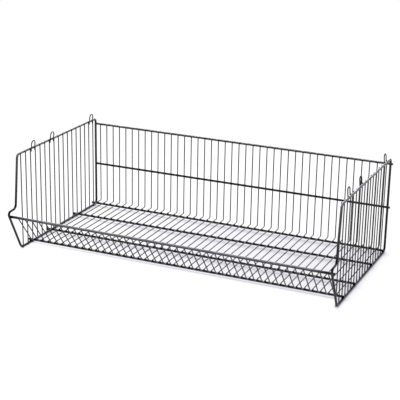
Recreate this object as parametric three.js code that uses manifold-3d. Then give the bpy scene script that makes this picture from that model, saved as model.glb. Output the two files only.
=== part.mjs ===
// Stackable wire dump bin: a shop display basket of welded, coated steel wire.
// Millimetres, +Z up, +X to the right, +Y to the back.
// The origin is on the floor, under the middle of the basket.
// Side outlines are drawn in (y, z) from the sharp corner of the front foot,
// with z = 0 on the middle line of the frames' bottom runs.
import * as THREE from 'three';
import { mergeVertices } from 'three/addons/utils/BufferGeometryUtils.js';
import Module from 'manifold-3d';

// Wires
const FRAME_WIRE = 6.4;
const RAIL_WIRE = 6.4;
const LIP_RAIL_WIRE = 7.2;
const THIN_WIRE = 3; // bars and loops
const WELD_GAP = 0.3; // between separate pieces where they cross
const WELD_SINK = 0.6; // how far a side bar is pressed into its own frame
const HEAVY_SIDES = 8;
const LOOP_SIDES = 8;
const BAR_SIDES = 6;

// Side frames
const FRAME_SPAN = 900; // between the middle planes of the two frames
const FRAME_DEPTH = 422; // foot corner to rear upright
const FRAME_HEIGHT = 263.5; // bottom run to top run
const NOSE_HEIGHT = 115.4; // sharp corner of the kicked-out front
const LEG_LEAN = 0.517; // forward run of the front leg for each unit of rise
const SHOULDER_REACH = 21.2; // where the front upright starts, ahead of the foot
const SHOULDER_HEIGHT = 118.2;
const TOP_FRONT_REACH = 6.4; // where the front upright meets the top run
const FOOT_BEND = 15;
const NOSE_BEND = 8;
const SHOULDER_BEND = 12;
const TOP_BEND = 10;
const REAR_FOOT_BEND = 12;
const FRAME_BEND_STEP = 24; // degrees turned by each facet of a frame's bend

// Upright bars of a side frame
const SIDE_BAR_COUNT = 17;
const SIDE_BAR_FRONT = 4; // first bar, behind the foot corner
const SIDE_BAR_REAR = 25.2; // last bar, ahead of the rear upright
const SIDE_BAR_END = 1.6; // a bar's end past the middle line of a run

// Stacking loops
const LOOP_ROOM = 0.625; // between a leg and the side bar beside it
const LOOP_RISE = 22.3; // top of the loop over the middle line of the top run
const LOOP_TAIL = 7; // legs below that line
const LOOP_LEAN = 5; // degrees, tops of the loops in over the basket
const LOOP_ROUND = 0.98; // share of the width that the two bends take up
const LOOP_AFTER_BAR = [3, 7, 16]; // each loop stands between this bar and the next

// Rails
const RAIL_OVERHANG = 5; // past the middle plane of a frame
const BACK_TOP_DROP = 16.5; // below the middle line of the top runs
const BACK_MIDDLE_HEIGHT = 123.8;
const LIP_RAIL_HEIGHT = 97; // seat of the lip rail on the front leg
// A floor rail lies beside a side bar: its number, the side it lies on, and the room left between them
const FLOOR_RAILS = [
  { bar: 3, side: -1, room: 0 },
  { bar: 7, side: -1, room: 4.1 },
  { bar: 13, side: -1, room: 2.7 },
  { bar: 17, side: 1, room: 2.5 },
];

// Basket bars
const BASKET_BAR_COUNT = 42;
const BASKET_BAR_SIDE = 15.4; // first bar to the middle plane of a frame
const LIP_ANGLE = 52; // degrees, lip over floor
const LIP_TUCK = 41; // degrees round the lip rail, from its side to where a bar's end meets it
const BACK_BEND = 3.5;
const LIP_BEND = 14;
const BAR_BEND_STEP = 31;

// Coating
const COATING = { color: 0x2b2c30, roughness: 0.38, metalness: 0.55 };

// Seats between crossing wires, middle line to middle line
const RAIL_ON_FRAME = (FRAME_WIRE + RAIL_WIRE) / 2 + WELD_GAP;
const LIP_RAIL_ON_FRAME = (FRAME_WIRE + LIP_RAIL_WIRE) / 2 + WELD_GAP;
const BAR_ON_FRAME = (FRAME_WIRE + THIN_WIRE) / 2 + WELD_GAP;
const BAR_ON_RAIL = (RAIL_WIRE + THIN_WIRE) / 2 + WELD_GAP;

const degrees = THREE.MathUtils.degToRad;
const inPlane = (y, z) => new THREE.Vector2(y, z);

const wasm = await Module();
wasm.setup();

// Replaces each corner by an arc of its bend radius, as a bending machine does.
function bend(corners, radii, step, closed) {
  const path = [];
  const count = corners.length;
  corners.forEach((corner, i) => {
    const isEnd = !closed && (i === 0 || i === count - 1);
    if (isEnd) {
      path.push(corner.clone());
      return;
    }
    const before = corners[(i + count - 1) % count].clone().sub(corner).normalize();
    const after = corners[(i + 1) % count].clone().sub(corner).normalize();
    const opening = Math.acos(THREE.MathUtils.clamp(before.dot(after), -1, 1));
    const turn = Math.PI - opening;
    const radius = radii[i];
    const middle = before.clone().add(after).normalize();
    const centre = corner.clone().addScaledVector(middle, radius / Math.sin(opening / 2));
    const start = corner.clone().addScaledVector(before, radius * Math.tan(turn / 2));
    const spoke = start.sub(centre);
    const way = Math.sign(before.x * after.y - before.y * after.x);
    const steps = Math.ceil(turn / degrees(step));
    for (let k = 0; k <= steps; k += 1) {
      const angle = (-way * turn * k) / steps;
      path.push(spoke.clone().rotateAround(new THREE.Vector2(), angle).add(centre));
    }
  });
  return path;
}

// Sweeps a many-sided section along a flat path. The wire's flats face along and across the path's plane.
function wire(path, plane, diameter, sides, closed = false) {
  const count = path.length;
  const positions = [];
  const index = [];
  for (let i = 0; i < count; i += 1) {
    const previous = closed || i > 0 ? path[(i + count - 1) % count] : path[i];
    const next = closed || i < count - 1 ? path[(i + 1) % count] : path[i];
    const arriving = path[i].clone().sub(previous).normalize();
    const leaving = next.clone().sub(path[i]).normalize();
    const along = arriving.clone().add(leaving).normalize();
    const mitre = Math.max(along.dot(arriving), along.dot(leaving));
    const across = plane.clone().cross(along).divideScalar(mitre);
    for (let k = 0; k < sides; k += 1) {
      const angle = (2 * Math.PI * (k + 0.5)) / sides;
      const radius = diameter / 2 / Math.cos(Math.PI / sides);
      const point = path[i].clone();
      point.addScaledVector(across, radius * Math.cos(angle));
      point.addScaledVector(plane, radius * Math.sin(angle));
      positions.push(...point.toArray());
    }
  }
  const rings = closed ? count : count - 1;
  for (let i = 0; i < rings; i += 1) {
    const here = i * sides;
    const there = ((i + 1) % count) * sides;
    for (let k = 0; k < sides; k += 1) {
      const n = (k + 1) % sides;
      index.push(here + k, there + n, there + k, here + k, here + n, there + n);
    }
  }
  if (!closed) {
    const last = (count - 1) * sides;
    for (let k = 1; k < sides - 1; k += 1) {
      index.push(0, k + 1, k);
      index.push(last, last + k, last + k + 1);
    }
  }
  const geometry = new THREE.BufferGeometry();
  geometry.setAttribute('position', new THREE.Float32BufferAttribute(positions, 3));
  geometry.setIndex(index);
  return geometry;
}

// A wire bent in a plane of constant x.
function uprightWire(x, outline, diameter, sides, closed = false) {
  const path = outline.map((p) => new THREE.Vector3(x, p.x, p.y));
  return wire(path, new THREE.Vector3(1, 0, 0), diameter, sides, closed);
}

function toSolid(geometry) {
  const merged = mergeVertices(geometry, 1e-4);
  return new wasm.Manifold(new wasm.Mesh({
    numProp: 3,
    vertProperties: new Float32Array(merged.attributes.position.array),
    triVerts: new Uint32Array(merged.index.array),
  }));
}

// Welds several wires into one body.
function weld(geometries) {
  const [first, ...others] = geometries.map(toSolid);
  const mesh = others.reduce((body, other) => body.add(other), first).getMesh();
  const geometry = new THREE.BufferGeometry();
  geometry.setAttribute('position', new THREE.Float32BufferAttribute(mesh.vertProperties, 3));
  geometry.setIndex(Array.from(mesh.triVerts));
  return geometry;
}

const basket = new THREE.Group();

function addPiece(name, geometry) {
  geometry.computeVertexNormals();
  const piece = new THREE.Mesh(geometry, new THREE.MeshStandardMaterial(COATING));
  piece.name = name;
  basket.add(piece);
}

// Where each upright bar of a side frame stands, front to rear
const sideBarPitch = (FRAME_DEPTH - SIDE_BAR_FRONT - SIDE_BAR_REAR) / (SIDE_BAR_COUNT - 1);
const sideBarAt = (number) => SIDE_BAR_FRONT + sideBarPitch * (number - 1);

// Side frame: one closed loop of heavy wire, with its bars pressed against the inner face of both runs
const frameCorners = [
  inPlane(0, 0),
  inPlane(FRAME_DEPTH, 0),
  inPlane(FRAME_DEPTH, FRAME_HEIGHT),
  inPlane(-TOP_FRONT_REACH, FRAME_HEIGHT),
  inPlane(-SHOULDER_REACH, SHOULDER_HEIGHT),
  inPlane(-NOSE_HEIGHT * LEG_LEAN, NOSE_HEIGHT),
];
const frameBends = [FOOT_BEND, REAR_FOOT_BEND, TOP_BEND, TOP_BEND, SHOULDER_BEND, NOSE_BEND];
const frameOutline = bend(frameCorners, frameBends, FRAME_BEND_STEP, true);

function sideFrame(side) {
  const frameX = (side * FRAME_SPAN) / 2;
  const barX = frameX - side * (BAR_ON_FRAME - WELD_GAP - WELD_SINK);
  const wires = [uprightWire(frameX, frameOutline, FRAME_WIRE, HEAVY_SIDES, true)];
  for (let number = 1; number <= SIDE_BAR_COUNT; number += 1) {
    const y = sideBarAt(number);
    const ends = [inPlane(y, -SIDE_BAR_END), inPlane(y, FRAME_HEIGHT + SIDE_BAR_END)];
    wires.push(uprightWire(barX, ends, THIN_WIRE, BAR_SIDES));
  }
  return weld(wires);
}

// Stacking loop: an upturned U, welded to the inner face of the top run between two side bars
const loopLean = degrees(LOOP_LEAN);

function stackingLoop(side, afterBar) {
  const x = side * (FRAME_SPAN / 2 - BAR_ON_FRAME / Math.cos(loopLean));
  const middle = (sideBarAt(afterBar) + sideBarAt(afterBar + 1)) / 2;
  const half = sideBarPitch / 2 - THIN_WIRE - LOOP_ROOM;
  const corners = [
    inPlane(middle - half, -LOOP_TAIL),
    inPlane(middle - half, LOOP_RISE),
    inPlane(middle + half, LOOP_RISE),
    inPlane(middle + half, -LOOP_TAIL),
  ];
  // The two bends nearly meet, so the top of the loop is round
  const radius = half * LOOP_ROUND;
  const outline = bend(corners, [0, radius, radius, 0], BAR_BEND_STEP, false);
  const rising = new THREE.Vector3(-side * Math.sin(loopLean), 0, Math.cos(loopLean));
  const plane = new THREE.Vector3(Math.cos(loopLean), 0, side * Math.sin(loopLean));
  const path = outline.map((p) => new THREE.Vector3(x, p.x, FRAME_HEIGHT).addScaledVector(rising, p.y));
  return wire(path, plane, THIN_WIRE, LOOP_SIDES);
}

// Rail: a straight heavy wire from side to side
function rail(y, z, diameter) {
  const reach = FRAME_SPAN / 2 + RAIL_OVERHANG;
  const path = [new THREE.Vector3(-reach, y, z), new THREE.Vector3(reach, y, z)];
  return wire(path, new THREE.Vector3(0, 1, 0), diameter, HEAVY_SIDES);
}

// The floor rails lie on the bottom runs, the back rails behind the rear uprights
const floorRailZ = RAIL_ON_FRAME;
const backRailY = FRAME_DEPTH + RAIL_ON_FRAME;
const backTopZ = FRAME_HEIGHT - BACK_TOP_DROP;

// The lip rail lies against the inner face of the front legs
const legDirection = inPlane(-LEG_LEAN, 1).normalize();
const legInward = inPlane(legDirection.y, -legDirection.x);
const lipSeat = inPlane(-LIP_RAIL_HEIGHT * LEG_LEAN, LIP_RAIL_HEIGHT);
const lipRail = lipSeat.clone().addScaledVector(legInward, LIP_RAIL_ON_FRAME);

// Basket bar: down the inside of the back rails, over the floor rails and up to the lip rail,
// where its end is tucked against the rail's inner, lower side
const lipUp = inPlane(-Math.cos(degrees(LIP_ANGLE)), Math.sin(degrees(LIP_ANGLE)));
const lipInward = inPlane(lipUp.y, -lipUp.x);
const lipTouch = LIP_RAIL_WIRE / 2 + WELD_GAP;
const lipAside = THIN_WIRE / 2 + lipTouch * Math.cos(degrees(LIP_TUCK));
const lipBelow = lipTouch * Math.sin(degrees(LIP_TUCK));
const lipEnd = lipRail.clone().addScaledVector(lipInward, lipAside).addScaledVector(lipUp, -lipBelow);
const barFloorZ = floorRailZ + BAR_ON_RAIL;
const barBackY = backRailY - BAR_ON_RAIL;
const barCorners = [
  inPlane(barBackY, backTopZ + RAIL_WIRE / 2),
  inPlane(barBackY, barFloorZ),
  inPlane(lipEnd.x + (lipEnd.y - barFloorZ) / Math.tan(degrees(LIP_ANGLE)), barFloorZ),
  lipEnd,
];
const barOutline = bend(barCorners, [0, BACK_BEND, LIP_BEND, 0], BAR_BEND_STEP, false);

for (const [side, label] of [[-1, 'left'], [1, 'right']]) {
  addPiece(`side_frame_${label}`, sideFrame(side));
  LOOP_AFTER_BAR.forEach((bar, i) => {
    addPiece(`stacking_loop_${label}_${i + 1}`, stackingLoop(side, bar));
  });
}

FLOOR_RAILS.forEach((place, i) => {
  const y = sideBarAt(place.bar) + place.side * (BAR_ON_RAIL + place.room);
  addPiece(`floor_rail_${i + 1}`, rail(y, floorRailZ, RAIL_WIRE));
});
addPiece('back_rail_middle', rail(backRailY, BACK_MIDDLE_HEIGHT, RAIL_WIRE));
addPiece('back_rail_top', rail(backRailY, backTopZ, RAIL_WIRE));
addPiece('lip_rail', rail(lipRail.x, lipRail.y, LIP_RAIL_WIRE));

const basketBarPitch = (FRAME_SPAN - 2 * BASKET_BAR_SIDE) / (BASKET_BAR_COUNT - 1);
for (let number = 1; number <= BASKET_BAR_COUNT; number += 1) {
  const x = -FRAME_SPAN / 2 + BASKET_BAR_SIDE + basketBarPitch * (number - 1);
  const label = String(number).padStart(2, '0');
  addPiece(`basket_bar_${label}`, uprightWire(x, barOutline, THIN_WIRE, BAR_SIDES));
}

// The basket stands on the floor with its origin under its middle
const extent = new THREE.Box3().setFromObject(basket);
const middle = extent.getCenter(new THREE.Vector3());
basket.position.set(-middle.x, -middle.y, -extent.min.z);
basket.updateMatrixWorld(true);

export default basket;
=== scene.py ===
# Stackable wire dump bin: the finished looks of a welded wire shop basket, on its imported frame.
import math

import bpy
from mathutils import Matrix, Vector


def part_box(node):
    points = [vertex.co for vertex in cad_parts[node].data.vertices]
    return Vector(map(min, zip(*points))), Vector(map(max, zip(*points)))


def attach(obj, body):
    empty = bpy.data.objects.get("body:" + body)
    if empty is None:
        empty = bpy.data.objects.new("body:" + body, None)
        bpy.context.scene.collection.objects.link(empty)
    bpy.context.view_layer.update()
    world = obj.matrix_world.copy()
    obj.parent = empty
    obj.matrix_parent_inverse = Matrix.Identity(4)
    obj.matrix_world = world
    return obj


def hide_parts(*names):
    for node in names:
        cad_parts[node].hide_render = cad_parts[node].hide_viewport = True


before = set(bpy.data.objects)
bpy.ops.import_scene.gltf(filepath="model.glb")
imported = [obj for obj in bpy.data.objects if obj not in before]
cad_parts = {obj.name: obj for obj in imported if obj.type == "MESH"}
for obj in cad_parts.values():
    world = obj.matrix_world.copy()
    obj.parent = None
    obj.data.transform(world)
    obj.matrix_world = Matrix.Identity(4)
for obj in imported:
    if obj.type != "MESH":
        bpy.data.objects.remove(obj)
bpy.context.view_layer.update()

# Side frames. Each is one heavy drawn-steel wire, bent to a closed loop with a kicked-out front,
# butt welded on its rear upright and coated with the rest. They carry everything else.
MM = 0.001
frame_low, frame_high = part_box("side_frame_left")
frame_wire = 6.4 * MM
frame_x = frame_low.x + frame_wire / 2
bottom_run_z = frame_low.z + frame_wire / 2
top_run_z = frame_high.z - frame_wire / 2
rear_upright_y = frame_high.y - frame_wire / 2
frame_depth = 422 * MM
foot_y = rear_upright_y - frame_depth
nose_rise = 115.4 * MM
leg_lean = 0.517
shoulder_reach = 21.2 * MM
shoulder_rise = 118.2 * MM
top_front_reach = 6.4 * MM
foot_bend = 15 * MM
rear_foot_bend = 12 * MM
top_bend = 10 * MM
shoulder_bend = 12 * MM
nose_bend = 8 * MM
heavy_facets = 20


def add_node(tree, kind, values=None, links=None):
    """Adds a node, sets its options and sockets by name, and links other nodes' sockets into it."""
    node = tree.nodes.new(kind)
    for key, value in (values or {}).items():
        if isinstance(key, str) and hasattr(node, key):
            setattr(node, key, value)
        else:
            node.inputs[key].default_value = value
    for key, source in (links or {}).items():
        tree.links.new(source, node.inputs[key])
    return node


def linear(hex_colour):
    """An sRGB hex value as linear red, green, blue and alpha."""
    parts = [int(hex_colour[i:i + 2], 16) / 255 for i in (1, 3, 5)]
    return [p / 12.92 if p <= 0.04045 else ((p + 0.055) / 1.055) ** 2.4 for p in parts] + [1.0]


# Gloss charcoal epoxy coating, sprayed as powder and baked on drawn steel wire. It pools a little,
# so the eye sees a dark, smooth, slightly wavy skin with clear reflections and soft cloudy variation.
coating = bpy.data.materials.new("charcoal_epoxy_powder_coat")
coating.use_nodes = True
shade = coating.node_tree
shade.nodes.clear()
orange_peel_mm = 1.6
cloud_mm = 28
cloud_low = 0.3
cloud_high = 0.7
smoothest = 0.24
dullest = 0.34
coat_ior = 1.5
coat_specular = 0.35
place = add_node(shade, "ShaderNodeTexCoord")
clouds = add_node(shade, "ShaderNodeTexNoise", {"Scale": 1 / (cloud_mm * MM), "Detail": 3.0},
                  {"Vector": place.outputs["Object"]})
peel = add_node(shade, "ShaderNodeTexNoise", {"Scale": 1 / (orange_peel_mm * MM), "Detail": 2.0},
                {"Vector": place.outputs["Object"]})
tint = add_node(shade, "ShaderNodeValToRGB", {}, {"Fac": clouds.outputs["Fac"]})
tint.color_ramp.elements[0].position = cloud_low
tint.color_ramp.elements[0].color = linear("#0c0c0e")
tint.color_ramp.elements[1].position = cloud_high
tint.color_ramp.elements[1].color = linear("#151518")
gloss = add_node(shade, "ShaderNodeMapRange",
                 {"From Min": cloud_low, "From Max": cloud_high, "To Min": smoothest, "To Max": dullest},
                 {"Value": clouds.outputs["Fac"]})
ripple = add_node(shade, "ShaderNodeBump", {"Strength": 0.12, "Distance": 0.1 * MM},
                  {"Height": peel.outputs["Fac"]})
skin = add_node(shade, "ShaderNodeBsdfPrincipled",
                {"Metallic": 0.0, "IOR": coat_ior, "Specular IOR Level": coat_specular},
                {"Base Color": tint.outputs["Color"], "Roughness": gloss.outputs["Result"],
                 "Normal": ripple.outputs["Normal"]})
add_node(shade, "ShaderNodeOutputMaterial", {}, {"Surface": skin.outputs["BSDF"]})

# The same coating with a painted highlight: a paler, duller grey painted in streaks along the wire on the
# upward-facing side of the top runs, the upper back rail and the lip, fading down the uprights. It stands
# in for the light that these upper sides catch.
painted_highlight_coat = bpy.data.materials.new("epoxy_powder_coat_painted_highlight")
painted_highlight_coat.use_nodes = True
shade = painted_highlight_coat.node_tree
shade.nodes.clear()
streak_mm = 24
highlight_height = top_run_z - 125 * MM
highlight_fade = 110 * MM
lip_reach_y = foot_y - 30 * MM
lip_fade = 12 * MM
lip_end_clear = 20 * MM
lip_end_full = 60 * MM
streak_least = 0.65
back_highlight = 0.62
highlight_dullest = 0.46
place = add_node(shade, "ShaderNodeTexCoord")
streaks = add_node(shade, "ShaderNodeTexNoise", {"Scale": 1 / (streak_mm * MM), "Detail": 4.0},
                   {"Vector": place.outputs["Object"]})
streaky = add_node(shade, "ShaderNodeMapRange",
                   {"From Min": cloud_low, "From Max": cloud_high, "To Min": streak_least, "To Max": 1.0},
                   {"Value": streaks.outputs["Fac"]})
# Upward-facing sides take the painted highlight
outward = add_node(shade, "ShaderNodeSeparateXYZ", {}, {"Vector": place.outputs["Normal"]})
upper = add_node(shade, "ShaderNodeMapRange", {"From Min": -0.1, "From Max": 0.55},
                 {"Value": outward.outputs["Z"]})
where = add_node(shade, "ShaderNodeSeparateXYZ", {}, {"Vector": place.outputs["Object"]})
high_up = add_node(shade, "ShaderNodeMapRange", {"From Min": highlight_height, "From Max": highlight_height + highlight_fade},
                   {"Value": where.outputs["Z"]})
at_lip = add_node(shade, "ShaderNodeMapRange", {"From Min": lip_reach_y, "From Max": lip_reach_y - lip_fade},
                  {"Value": where.outputs["Y"]})
aside = add_node(shade, "ShaderNodeMath", {"operation": "ABSOLUTE"}, {0: where.outputs["X"]})
between = add_node(shade, "ShaderNodeMapRange",
                   {"From Min": -frame_x - lip_end_clear, "From Max": -frame_x - lip_end_full},
                   {"Value": aside.outputs["Value"]})
lip_middle = add_node(shade, "ShaderNodeMath", {"operation": "MULTIPLY"},
                      {0: at_lip.outputs["Result"], 1: between.outputs["Result"]})
within = add_node(shade, "ShaderNodeMath", {"operation": "MAXIMUM"},
                  {0: high_up.outputs["Result"], 1: lip_middle.outputs["Value"]})
upward_within = add_node(shade, "ShaderNodeMath", {"operation": "MULTIPLY"},
                   {0: upper.outputs["Result"], 1: within.outputs["Value"]})
# The painted highlight is weaker on the back rail
back_share = add_node(shade, "ShaderNodeMapRange",
                      {"From Min": rear_upright_y, "From Max": rear_upright_y + frame_wire / 2,
                       "To Min": 1.0, "To Max": back_highlight},
                      {"Value": where.outputs["Y"]})
streaked = add_node(shade, "ShaderNodeMath", {"operation": "MULTIPLY"},
                    {0: back_share.outputs["Result"], 1: streaky.outputs["Result"]})
painted_highlight = add_node(shade, "ShaderNodeMath", {"operation": "MULTIPLY"},
                {0: upward_within.outputs["Value"], 1: streaked.outputs["Value"]})
# Painted highlight: pale grey where the mask is full, the dark coat elsewhere
tint = add_node(shade, "ShaderNodeValToRGB", {}, {"Fac": painted_highlight.outputs["Value"]})
tint.color_ramp.elements[0].position = 0.0
tint.color_ramp.elements[0].color = linear("#101012")
tint.color_ramp.elements[1].position = 1.0
tint.color_ramp.elements[1].color = linear("#dcdae2")
dulled = add_node(shade, "ShaderNodeMapRange", {"To Min": 0.28, "To Max": highlight_dullest},
                  {"Value": painted_highlight.outputs["Value"]})
skin = add_node(shade, "ShaderNodeBsdfPrincipled",
                {"Metallic": 0.0, "IOR": coat_ior, "Specular IOR Level": coat_specular},
                {"Base Color": tint.outputs["Color"], "Roughness": dulled.outputs["Result"]})
add_node(shade, "ShaderNodeOutputMaterial", {}, {"Surface": skin.outputs["BSDF"]})

# The wire tree bends a drawn path round its formers, gives it a round section and copies it in two
# directions.
bend_steps = 9
wire_tree = bpy.data.node_groups.new("bent_wire", "GeometryNodeTree")
for label, kind in (("Path", "NodeSocketGeometry"), ("Diameter", "NodeSocketFloat"),
                    ("Facets", "NodeSocketInt"),
                    ("Row Count", "NodeSocketInt"), ("Row Step", "NodeSocketVector"),
                    ("Pair Count", "NodeSocketInt"), ("Pair Step", "NodeSocketVector"),
                    ("Finish", "NodeSocketMaterial")):
    wire_tree.interface.new_socket(label, in_out="INPUT", socket_type=kind)
wire_tree.interface.new_socket("Wires", in_out="OUTPUT", socket_type="NodeSocketGeometry")
given = add_node(wire_tree, "NodeGroupInput")
drawn = add_node(wire_tree, "GeometryNodeMeshToCurve", {}, {"Mesh": given.outputs["Path"]})
former = add_node(wire_tree, "GeometryNodeInputNamedAttribute", {"data_type": "FLOAT", "Name": "bend"})
bent = add_node(wire_tree, "GeometryNodeFilletCurve",
                {"mode": "POLY", "Count": bend_steps, "Limit Radius": True},
                {"Curve": drawn.outputs["Curve"], "Radius": former.outputs["Attribute"]})
swell = add_node(wire_tree, "GeometryNodeInputNamedAttribute", {"data_type": "FLOAT", "Name": "thickness"})
sized = add_node(wire_tree, "GeometryNodeSetCurveRadius", {},
                 {"Curve": bent.outputs["Curve"], "Radius": swell.outputs["Attribute"]})
half = add_node(wire_tree, "ShaderNodeMath", {"operation": "DIVIDE", 1: 2.0},
                {0: given.outputs["Diameter"]})
section = add_node(wire_tree, "GeometryNodeCurvePrimitiveCircle", {},
                   {"Resolution": given.outputs["Facets"], "Radius": half.outputs["Value"]})
rod = add_node(wire_tree, "GeometryNodeCurveToMesh", {"Fill Caps": True},
               {"Curve": sized.outputs["Curve"], "Profile Curve": section.outputs["Curve"]})
smooth = add_node(wire_tree, "GeometryNodeSetShadeSmooth", {}, {"Geometry": rod.outputs["Mesh"]})
row = add_node(wire_tree, "GeometryNodeMeshLine", {},
               {"Count": given.outputs["Row Count"], "Offset": given.outputs["Row Step"]})
rowed = add_node(wire_tree, "GeometryNodeInstanceOnPoints", {},
                 {"Points": row.outputs["Mesh"], "Instance": smooth.outputs["Geometry"]})
pair = add_node(wire_tree, "GeometryNodeMeshLine", {},
                {"Count": given.outputs["Pair Count"], "Offset": given.outputs["Pair Step"]})
paired = add_node(wire_tree, "GeometryNodeInstanceOnPoints", {},
                  {"Points": pair.outputs["Mesh"], "Instance": rowed.outputs["Instances"]})
real = add_node(wire_tree, "GeometryNodeRealizeInstances", {}, {"Geometry": paired.outputs["Instances"]})
coated = add_node(wire_tree, "GeometryNodeSetMaterial", {},
                  {"Geometry": real.outputs["Geometry"], "Material": given.outputs["Finish"]})
add_node(wire_tree, "NodeGroupOutput", {}, {"Wires": coated.outputs["Geometry"]})


def grow(name, base, tree, inputs):
    """Runs a node tree on a base mesh and keeps the result as a plain mesh object of that name."""
    holder = bpy.data.objects.new(name + "_base", base)
    bpy.context.scene.collection.objects.link(holder)
    modifier = holder.modifiers.new("grow", "NODES")
    modifier.node_group = tree
    for item in tree.interface.items_tree:
        if item.in_out == "INPUT" and item.name in inputs:
            modifier[item.identifier] = inputs[item.name]
    holder.update_tag()
    graph = bpy.context.evaluated_depsgraph_get()
    mesh = bpy.data.meshes.new_from_object(holder.evaluated_get(graph))
    bpy.data.objects.remove(holder)
    mesh.name = name
    piece = bpy.data.objects.new(name, mesh)
    bpy.context.scene.collection.objects.link(piece)
    return piece


def wires(name, paths, diameter, facets, row=(1, (0, 0, 0)), pair=(1, (0, 0, 0)), finish=coating):
    """Makes wires along paths, each a list of (corner, bend radius) and whether it closes on itself."""
    ease = 0.2 * diameter
    end_narrowing = 0.4
    end_steps = (0.0, 0.13, 0.5, 1.0)
    corners = []
    edges = []
    bends = []
    sizes = []
    for stops, closed in paths:
        stations = [(Vector(p), bend, 1.0) for p, bend in stops]
        if not closed:
            # the sheared end is rounded over by the coating, in four short steps
            for end, inner in ((0, 1), (-1, -2)):
                tip, toward = stations[end][0], stations[inner][0]
                along = (toward - tip).normalized()
                steps = [(tip + along * ease * s, 0.0, 1 - end_narrowing * (1 - math.sqrt(1 - (1 - s) ** 2)))
                         for s in end_steps]
                if end == 0:
                    stations = steps + stations[1:]
                else:
                    stations = stations[:-1] + steps[::-1]
        first = len(corners)
        for point, bend, size in stations:
            corners.append(point)
            bends.append(bend)
            sizes.append(size)
        edges += [(first + i, first + i + 1) for i in range(len(stations) - 1)]
        if closed:
            edges.append((len(corners) - 1, first))
    base = bpy.data.meshes.new(name + "_path")
    base.from_pydata(corners, edges, [])
    for label, values in (("bend", bends), ("thickness", sizes)):
        base.attributes.new(label, "FLOAT", "POINT").data.foreach_set("value", values)
    return grow(name, base, wire_tree, {
        "Diameter": diameter, "Facets": facets, "Row Count": row[0], "Row Step": row[1],
        "Pair Count": pair[0], "Pair Step": pair[1], "Finish": finish})


frame_loop = [
    ((frame_x, foot_y, bottom_run_z), foot_bend),
    ((frame_x, rear_upright_y, bottom_run_z), rear_foot_bend),
    ((frame_x, rear_upright_y, top_run_z), top_bend),
    ((frame_x, foot_y - top_front_reach, top_run_z), top_bend),
    ((frame_x, foot_y - shoulder_reach, bottom_run_z + shoulder_rise), shoulder_bend),
    ((frame_x, foot_y - nose_rise * leg_lean, bottom_run_z + nose_rise), nose_bend),
]
across = (-2 * frame_x, 0, 0)
# The frames take the coat with the painted highlight on their top runs and upper uprights
side_frames = wires("side_frames", [(frame_loop, True)], frame_wire, heavy_facets, pair=(2, across),
                    finish=painted_highlight_coat)
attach(side_frames, "root")
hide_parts("side_frame_left", "side_frame_right")

# Side bars. Seventeen straight thin wires a side, cut to length and resistance welded upright
# against the inner face of the frame's top and bottom runs.
thin_wire = 3 * MM
thin_facets = 12
side_bar_count = 17
side_bar_x = frame_high.x - thin_wire / 2 / math.cos(math.pi / 6)
side_bar_front = 4 * MM
side_bar_rear = 25.2 * MM
side_bar_first_y = foot_y + side_bar_front
side_bar_last_y = rear_upright_y - side_bar_rear
side_bar_pitch = (side_bar_last_y - side_bar_first_y) / (side_bar_count - 1)
side_bar_end = 1.6 * MM
side_bar = [
    ((side_bar_x, side_bar_first_y, bottom_run_z - side_bar_end), 0),
    ((side_bar_x, side_bar_first_y, top_run_z + side_bar_end), 0),
]
side_bars = wires("side_bars", [(side_bar, False)], thin_wire, thin_facets,
                  row=(side_bar_count, (0, side_bar_pitch, 0)), pair=(2, (-2 * side_bar_x, 0, 0)))
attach(side_bars, "root")

# Stacking loops. Short lengths of the thin wire bent to an upturned U and welded inside the top run,
# three a side and leaning in a little, so that the next basket can't slide off.
weld_gap = 0.3 * MM
loop_lean = math.radians(5)
loop_rise = 22.3 * MM
loop_tail = 7 * MM
loop_round = 0.98
loop_seat_x = frame_x + ((frame_wire + thin_wire) / 2 + weld_gap) / math.cos(loop_lean)
loop_paths = []
loop_nodes = []
for side, inward in (("left", 1), ("right", -1)):
    for number in (1, 2, 3):
        loop_nodes.append(f"stacking_loop_{side}_{number}")
        low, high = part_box(loop_nodes[-1])
        front, rear = low.y + thin_wire / 2, high.y - thin_wire / 2
        bend = (rear - front) / 2 * loop_round
        stops = []
        for y, rise, radius in ((front, -loop_tail, 0), (front, loop_rise, bend),
                                (rear, loop_rise, bend), (rear, -loop_tail, 0)):
            x = inward * (loop_seat_x + rise * math.sin(loop_lean))
            stops.append(((x, y, top_run_z + rise * math.cos(loop_lean)), radius))
        loop_paths.append((stops, False))
stacking_loops = wires("stacking_loops", loop_paths, thin_wire, thin_facets)
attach(stacking_loops, "root")
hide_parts(*loop_nodes)

# Rails. Seven straight lengths of the heavy wire that tie the two frames together: two behind the rear
# uprights, four on the bottom runs and one inside the front legs, each welded where it crosses.
floor_rail_nodes = [f"floor_rail_{n}" for n in (1, 2, 3, 4)]
back_rail_nodes = ["back_rail_middle", "back_rail_top"]


def rail_path(node):
    """The straight path of a rail, end to end."""
    low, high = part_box(node)
    y, z = (low.y + high.y) / 2, (low.z + high.z) / 2
    return [((low.x, y, z), 0), ((high.x, y, z), 0)], False


# The back rails and the lip rail take the coat with the painted highlight on their upper sides
for name, nodes, finish in (("floor_rails", floor_rail_nodes, coating),
                            ("back_rails", back_rail_nodes, painted_highlight_coat),
                            ("front_lip_rail", ["lip_rail"], painted_highlight_coat)):
    rail_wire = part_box(nodes[0])[1].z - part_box(nodes[0])[0].z
    rails = wires(name, [rail_path(n) for n in nodes], rail_wire, heavy_facets, finish=finish)
    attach(rails, "root")
    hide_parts(*nodes)

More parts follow.
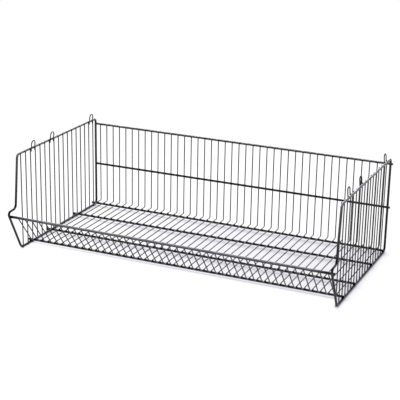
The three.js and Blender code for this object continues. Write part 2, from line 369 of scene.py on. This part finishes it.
# Basket bars. Forty-two thin wires, each bent twice: down the inside of the back rails, forward over
# the floor rails and up to the lip rail, where the end is tucked in under its inner side.
basket_bar_count = 42
bar_nodes = [f"basket_bar_{n:02d}" for n in range(1, basket_bar_count + 1)]
bar_low, bar_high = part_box(bar_nodes[0])
bar_x = (bar_low.x + bar_high.x) / 2
bar_pitch = -2 * bar_x / (basket_bar_count - 1)
bar_back_y = bar_high.y - thin_wire / 2
bar_floor_z = bar_low.z + thin_wire / 2
lip_angle = math.radians(52)
back_bend = 3.5 * MM
lip_bend = 14 * MM
lip_tuck = math.radians(41)
lip_low, lip_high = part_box("lip_rail")
lip_rail_at = (lip_low + lip_high) / 2
lip_rail_wire = lip_high.z - lip_low.z
lip_inward = Vector((0, math.sin(lip_angle), math.cos(lip_angle)))
lip_up = Vector((0, -math.cos(lip_angle), math.sin(lip_angle)))
lip_touch = lip_rail_wire / 2 + weld_gap
lip_end = lip_rail_at + lip_inward * (thin_wire / 2 + lip_touch * math.cos(lip_tuck))
lip_end -= lip_up * lip_touch * math.sin(lip_tuck)
lip_corner_y = lip_end.y + (lip_end.z - bar_floor_z) / math.tan(lip_angle)
basket_bar = [
    ((bar_x, bar_back_y, bar_high.z), 0),
    ((bar_x, bar_back_y, bar_floor_z), back_bend),
    ((bar_x, lip_corner_y, bar_floor_z), lip_bend),
    ((bar_x, lip_end.y, lip_end.z), 0),
]
basket_bars = wires("basket_bars", [(basket_bar, False)], thin_wire, thin_facets,
                    row=(basket_bar_count, (bar_pitch, 0, 0)))
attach(basket_bars, "root")
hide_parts(*bar_nodes)

# Welds. Where two wires cross, the machine presses them together hot and a little steel squeezes out:
# a low nugget under the coating at each of the crossings, and a ring where each frame loop was closed.
weld_tree = bpy.data.node_groups.new("weld_nuggets", "GeometryNodeTree")
for label, kind in (("Spots", "NodeSocketGeometry"), ("Finish", "NodeSocketMaterial")):
    weld_tree.interface.new_socket(label, in_out="INPUT", socket_type=kind)
weld_tree.interface.new_socket("Nuggets", in_out="OUTPUT", socket_type="NodeSocketGeometry")
given = add_node(weld_tree, "NodeGroupInput")
blob = add_node(weld_tree, "GeometryNodeMeshIcoSphere", {"Radius": 1.0, "Subdivisions": 2})
soft = add_node(weld_tree, "GeometryNodeSetShadeSmooth", {}, {"Geometry": blob.outputs["Mesh"]})
facing = add_node(weld_tree, "GeometryNodeInputNamedAttribute",
                  {"data_type": "FLOAT_VECTOR", "Name": "facing"})
lying = add_node(weld_tree, "GeometryNodeInputNamedAttribute",
                 {"data_type": "FLOAT_VECTOR", "Name": "lying"})
size = add_node(weld_tree, "GeometryNodeInputNamedAttribute",
                {"data_type": "FLOAT_VECTOR", "Name": "size"})
upright = add_node(weld_tree, "FunctionNodeAlignRotationToVector", {"axis": "Z"},
                   {"Vector": facing.outputs["Attribute"]})
turned = add_node(weld_tree, "FunctionNodeAlignRotationToVector", {"axis": "X", "pivot_axis": "Z"},
                  {"Rotation": upright.outputs["Rotation"], "Vector": lying.outputs["Attribute"]})
spots = add_node(weld_tree, "GeometryNodeMeshToPoints", {}, {"Mesh": given.outputs["Spots"]})
placed = add_node(weld_tree, "GeometryNodeInstanceOnPoints", {},
                  {"Points": spots.outputs["Points"], "Instance": soft.outputs["Geometry"],
                   "Rotation": turned.outputs["Rotation"], "Scale": size.outputs["Attribute"]})
real = add_node(weld_tree, "GeometryNodeRealizeInstances", {}, {"Geometry": placed.outputs["Instances"]})
coated = add_node(weld_tree, "GeometryNodeSetMaterial", {},
                  {"Geometry": real.outputs["Geometry"], "Material": given.outputs["Finish"]})
add_node(weld_tree, "NodeGroupOutput", {}, {"Nuggets": coated.outputs["Geometry"]})

ALONG_X, ALONG_Y, ALONG_Z = Vector((1, 0, 0)), Vector((0, 1, 0)), Vector((0, 0, 1))
# Half sizes: along the lying direction, across it and out of the joint
thin_nugget = Vector((2.9, 2.5, 1.5)) * MM
lip_nugget = Vector((2.2, 2.0, 1.3)) * MM
heavy_nugget = Vector((3.4, 3.0, 1.3)) * MM
closing_ring = Vector((2.6, 3.5, 3.5)) * MM
closing_height = 62 * MM
rail_at = {}
for node in floor_rail_nodes + back_rail_nodes:
    low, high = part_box(node)
    rail_at[node] = (low + high) / 2
rail_half = (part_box("floor_rail_1")[1].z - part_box("floor_rail_1")[0].z + weld_gap) / 2
frame_half = (frame_wire + weld_gap) / 2
lip_weld = lip_inward * math.cos(lip_tuck) - lip_up * math.sin(lip_tuck)
bar_places = [bar_x + bar_pitch * n for n in range(basket_bar_count)]
nuggets = []
for x in bar_places:
    for node in floor_rail_nodes:
        spot = Vector((x, rail_at[node].y, rail_at[node].z + rail_half))
        nuggets.append((spot, ALONG_Z, ALONG_Y, thin_nugget))
    for node in back_rail_nodes:
        spot = Vector((x, rail_at[node].y - rail_half, rail_at[node].z))
        nuggets.append((spot, ALONG_Y, ALONG_Z, thin_nugget))
    end = Vector((x, lip_rail_at.y, lip_rail_at.z)) + lip_weld * (lip_rail_wire + weld_gap) / 2
    nuggets.append((end, lip_weld, ALONG_X, lip_nugget))
leg_lie = Vector((0, -leg_lean, 1)).normalized()
leg_inward = Vector((0, leg_lie.z, -leg_lie.y))
for x in (frame_x, -frame_x):
    for node in floor_rail_nodes:
        spot = Vector((x, rail_at[node].y, bottom_run_z + frame_half))
        nuggets.append((spot, ALONG_Z, ALONG_X, heavy_nugget))
    for node in back_rail_nodes:
        spot = Vector((x, rear_upright_y + frame_half, rail_at[node].z))
        nuggets.append((spot, ALONG_Y, ALONG_X, heavy_nugget))
    at_leg = Vector((x, lip_rail_at.y, lip_rail_at.z)) - leg_inward * (lip_rail_wire + weld_gap) / 2
    nuggets.append((at_leg, leg_inward, ALONG_X, heavy_nugget))
    inner = x * (1 - frame_wire / 2 / abs(x))
    for n in range(side_bar_count):
        for z in (bottom_run_z, top_run_z):
            spot = Vector((inner, side_bar_first_y + side_bar_pitch * n, z))
            nuggets.append((spot, ALONG_X, ALONG_Z, thin_nugget))
    closing = Vector((x, rear_upright_y, bottom_run_z + closing_height))
    nuggets.append((closing, ALONG_Y, ALONG_Z, closing_ring))
for path, _ in loop_paths:
    for leg in (path[0][0], path[-1][0]):
        seat_x = math.copysign(abs(frame_x) - frame_half, leg[0])
        nuggets.append((Vector((seat_x, leg[1], top_run_z)), ALONG_X, ALONG_Z, thin_nugget))
spot_mesh = bpy.data.meshes.new("weld_spots")
spot_mesh.from_pydata([n[0] for n in nuggets], [], [])
for label, column in (("facing", 1), ("lying", 2), ("size", 3)):
    values = [c for n in nuggets for c in n[column]]
    spot_mesh.attributes.new(label, "FLOAT_VECTOR", "POINT").data.foreach_set("vector", values)

# Over a weld the powder coat lies on scale and pools, so each spot shows as a blacker, duller dot.
scaled = bpy.data.materials.new("powder_coat_on_weld_scale")
scaled.use_nodes = True
shade = scaled.node_tree
shade.nodes.clear()
scale_mm = 0.8
place = add_node(shade, "ShaderNodeTexCoord")
crust = add_node(shade, "ShaderNodeTexNoise", {"Scale": 1 / (scale_mm * MM), "Detail": 2.0},
                 {"Vector": place.outputs["Object"]})
tint = add_node(shade, "ShaderNodeValToRGB", {}, {"Fac": crust.outputs["Fac"]})
tint.color_ramp.elements[0].color = linear("#060606")
tint.color_ramp.elements[1].color = linear("#121213")
rough = add_node(shade, "ShaderNodeBump", {"Strength": 0.3, "Distance": 0.15 * MM},
                 {"Height": crust.outputs["Fac"]})
skin = add_node(shade, "ShaderNodeBsdfPrincipled",
                {"Metallic": 0.0, "IOR": coat_ior, "Roughness": 0.6, "Specular IOR Level": 0.2},
                {"Base Color": tint.outputs["Color"], "Normal": rough.outputs["Normal"]})
add_node(shade, "ShaderNodeOutputMaterial", {}, {"Surface": skin.outputs["BSDF"]})
welds = grow("weld_nuggets", spot_mesh, weld_tree, {"Finish": scaled})
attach(welds, "root")

# Studio. A white sweep that rises to low walls all round: the floor keeps a soft contact shadow, and
# what the camera sees round it is plain white. A lit backdrop, behind and to the left, and a panel
# overhead give the light.
floor_mesh = bpy.data.meshes.new("floor")
reach = 12.0
wall_height = 3.0
ring = [(-reach, -reach), (reach, -reach), (reach, reach), (-reach, reach)]
sweep_points = [(x, y, z) for z in (0, wall_height) for x, y in ring]
sweep_faces = [(0, 1, 2, 3)] + [((n + 1) % 4, n, n + 4, (n + 1) % 4 + 4) for n in range(4)]
floor_mesh.from_pydata(sweep_points, [], sweep_faces)
floor = bpy.data.objects.new("floor", floor_mesh)
bpy.context.scene.collection.objects.link(floor)
paper = bpy.data.materials.new("white_paper_sweep")
paper.use_nodes = True
sheet = paper.node_tree
sheet.nodes.clear()
sight = add_node(sheet, "ShaderNodeLightPath")
spread = add_node(sheet, "ShaderNodeTexCoord")
away = add_node(sheet, "ShaderNodeVectorMath", {"operation": "LENGTH"}, {0: spread.outputs["Object"]})
white_from = 0.75
white_beyond = 1.5
edge = add_node(sheet, "ShaderNodeMapRange", {"From Min": white_from, "From Max": white_beyond},
                {"Value": away.outputs["Value"]})
# Under the basket's own floor the shadow reaches further than round its edge
ground = add_node(sheet, "ShaderNodeSeparateXYZ", {}, {"Vector": spread.outputs["Object"]})
front_edge = rail_at["floor_rail_1"].y
edge_shadow = 7 * MM
under_shadow = 24 * MM
under = add_node(sheet, "ShaderNodeMapRange",
                 {"From Min": front_edge - 2 * MM, "From Max": front_edge + 4 * MM,
                  "To Min": edge_shadow, "To Max": under_shadow},
                 {"Value": ground.outputs["Y"]})
# It deepens to the right, away from the lit backdrop
rightward = add_node(sheet, "ShaderNodeMapRange",
                     {"From Min": frame_x, "From Max": -frame_x, "To Min": 0.5, "To Max": 1.2},
                     {"Value": ground.outputs["X"]})
deepened = add_node(sheet, "ShaderNodeMath", {"operation": "MULTIPLY"},
                    {0: under.outputs["Result"], 1: rightward.outputs["Result"]})
contact = add_node(sheet, "ShaderNodeAmbientOcclusion", {"samples": 24},
                   {"Distance": deepened.outputs["Value"]})
# The shadow is faintly lavender, as on paper under cool light
shadow = add_node(sheet, "ShaderNodeValToRGB", {}, {"Fac": contact.outputs["AO"]})
shadow.color_ramp.elements[0].color = linear("#000000")
shadow.color_ramp.elements[1].color = linear("#ffffff")
soft_edge = shadow.color_ramp.elements.new(0.8)
soft_edge.color = linear("#e6e5ee")
near = add_node(sheet, "ShaderNodeEmission", {"Strength": 0.92}, {"Color": shadow.outputs["Color"]})
lit = add_node(sheet, "ShaderNodeBsdfDiffuse", {"Color": (0.22, 0.22, 0.225, 1.0)})
shaded = add_node(sheet, "ShaderNodeAddShader", {}, {0: near.outputs["Emission"], 1: lit.outputs["BSDF"]})
glow = add_node(sheet, "ShaderNodeEmission", {"Color": linear("#ffffff"), "Strength": 1.0})
seen = add_node(sheet, "ShaderNodeMixShader", {}, {0: edge.outputs["Result"], 1: shaded.outputs["Shader"],
                                                   2: glow.outputs["Emission"]})
bounce = add_node(sheet, "ShaderNodeBsdfDiffuse", {"Color": linear("#f2f2f4")})
straight = add_node(sheet, "ShaderNodeMath", {"operation": "MAXIMUM"},
                    {0: sight.outputs["Is Camera Ray"], 1: sight.outputs["Is Transmission Ray"]})
clear = add_node(sheet, "ShaderNodeMath", {"operation": "MAXIMUM"},
                 {0: straight.outputs["Value"], 1: sight.outputs["Is Glossy Ray"]})
choose = add_node(sheet, "ShaderNodeMixShader", {}, {0: clear.outputs["Value"], 1: bounce.outputs["BSDF"],
                                                     2: seen.outputs["Shader"]})
add_node(sheet, "ShaderNodeOutputMaterial", {}, {"Surface": choose.outputs["Shader"]})
floor_mesh.materials.append(paper)

room = bpy.data.worlds.new("dim_room")
bpy.context.scene.world = room
room.use_nodes = True
air = room.node_tree
air.nodes.clear()
dim = add_node(air, "ShaderNodeBackground", {"Color": linear("#ffffff"), "Strength": 0.12})
add_node(air, "ShaderNodeOutputWorld", {}, {"Surface": dim.outputs["Background"]})


cool_white = (0.97, 0.96, 1.0)


def panel(name, place, aim, width, height, power):
    """A soft light of a given size at a place, facing an aim point."""
    lamp = bpy.data.lights.new(name, "AREA")
    lamp.shape = "RECTANGLE"
    lamp.size = width
    lamp.size_y = height
    lamp.energy = power
    lamp.color = cool_white
    light = bpy.data.objects.new(name, lamp)
    light.location = place
    light.rotation_euler = (Vector(aim) - Vector(place)).to_track_quat("-Z", "Y").to_euler()
    bpy.context.scene.collection.objects.link(light)


panel("lit_backdrop", (-2.2, 3.0, 1.6), (0, 0, 0.4), 4.2, 2.4, 175)
panel("overhead_panel", (-0.3, 0.2, 2.6), (0, 0, 0.1), 1.6, 1.6, 20)

# Camera. Long lens, right of the front and above, with a slight roll, as the photograph was taken.
# The focal length is in pixels of the square 400 pixel picture.
picture = 400
focal_pixels = 1182.8
camera_place = Vector((1214.9, -2749.8, 1157.2)) * MM
camera_aim = Vector((0, -4.9, 152.6)) * MM
camera_roll = math.radians(1.08)
lens = bpy.data.cameras.new("camera")
lens.sensor_width = 36
lens.sensor_fit = "HORIZONTAL"
lens.lens = focal_pixels * lens.sensor_width / picture
camera = bpy.data.objects.new("camera", lens)
camera.location = camera_place
turn = (camera_aim - camera_place).to_track_quat("-Z", "Y").to_matrix().to_4x4()
camera.rotation_euler = (turn @ Matrix.Rotation(camera_roll, 4, "Z")).to_euler()
bpy.context.scene.collection.objects.link(camera)
bpy.context.scene.camera = camera
bpy.context.scene.view_settings.view_transform = "Standard"
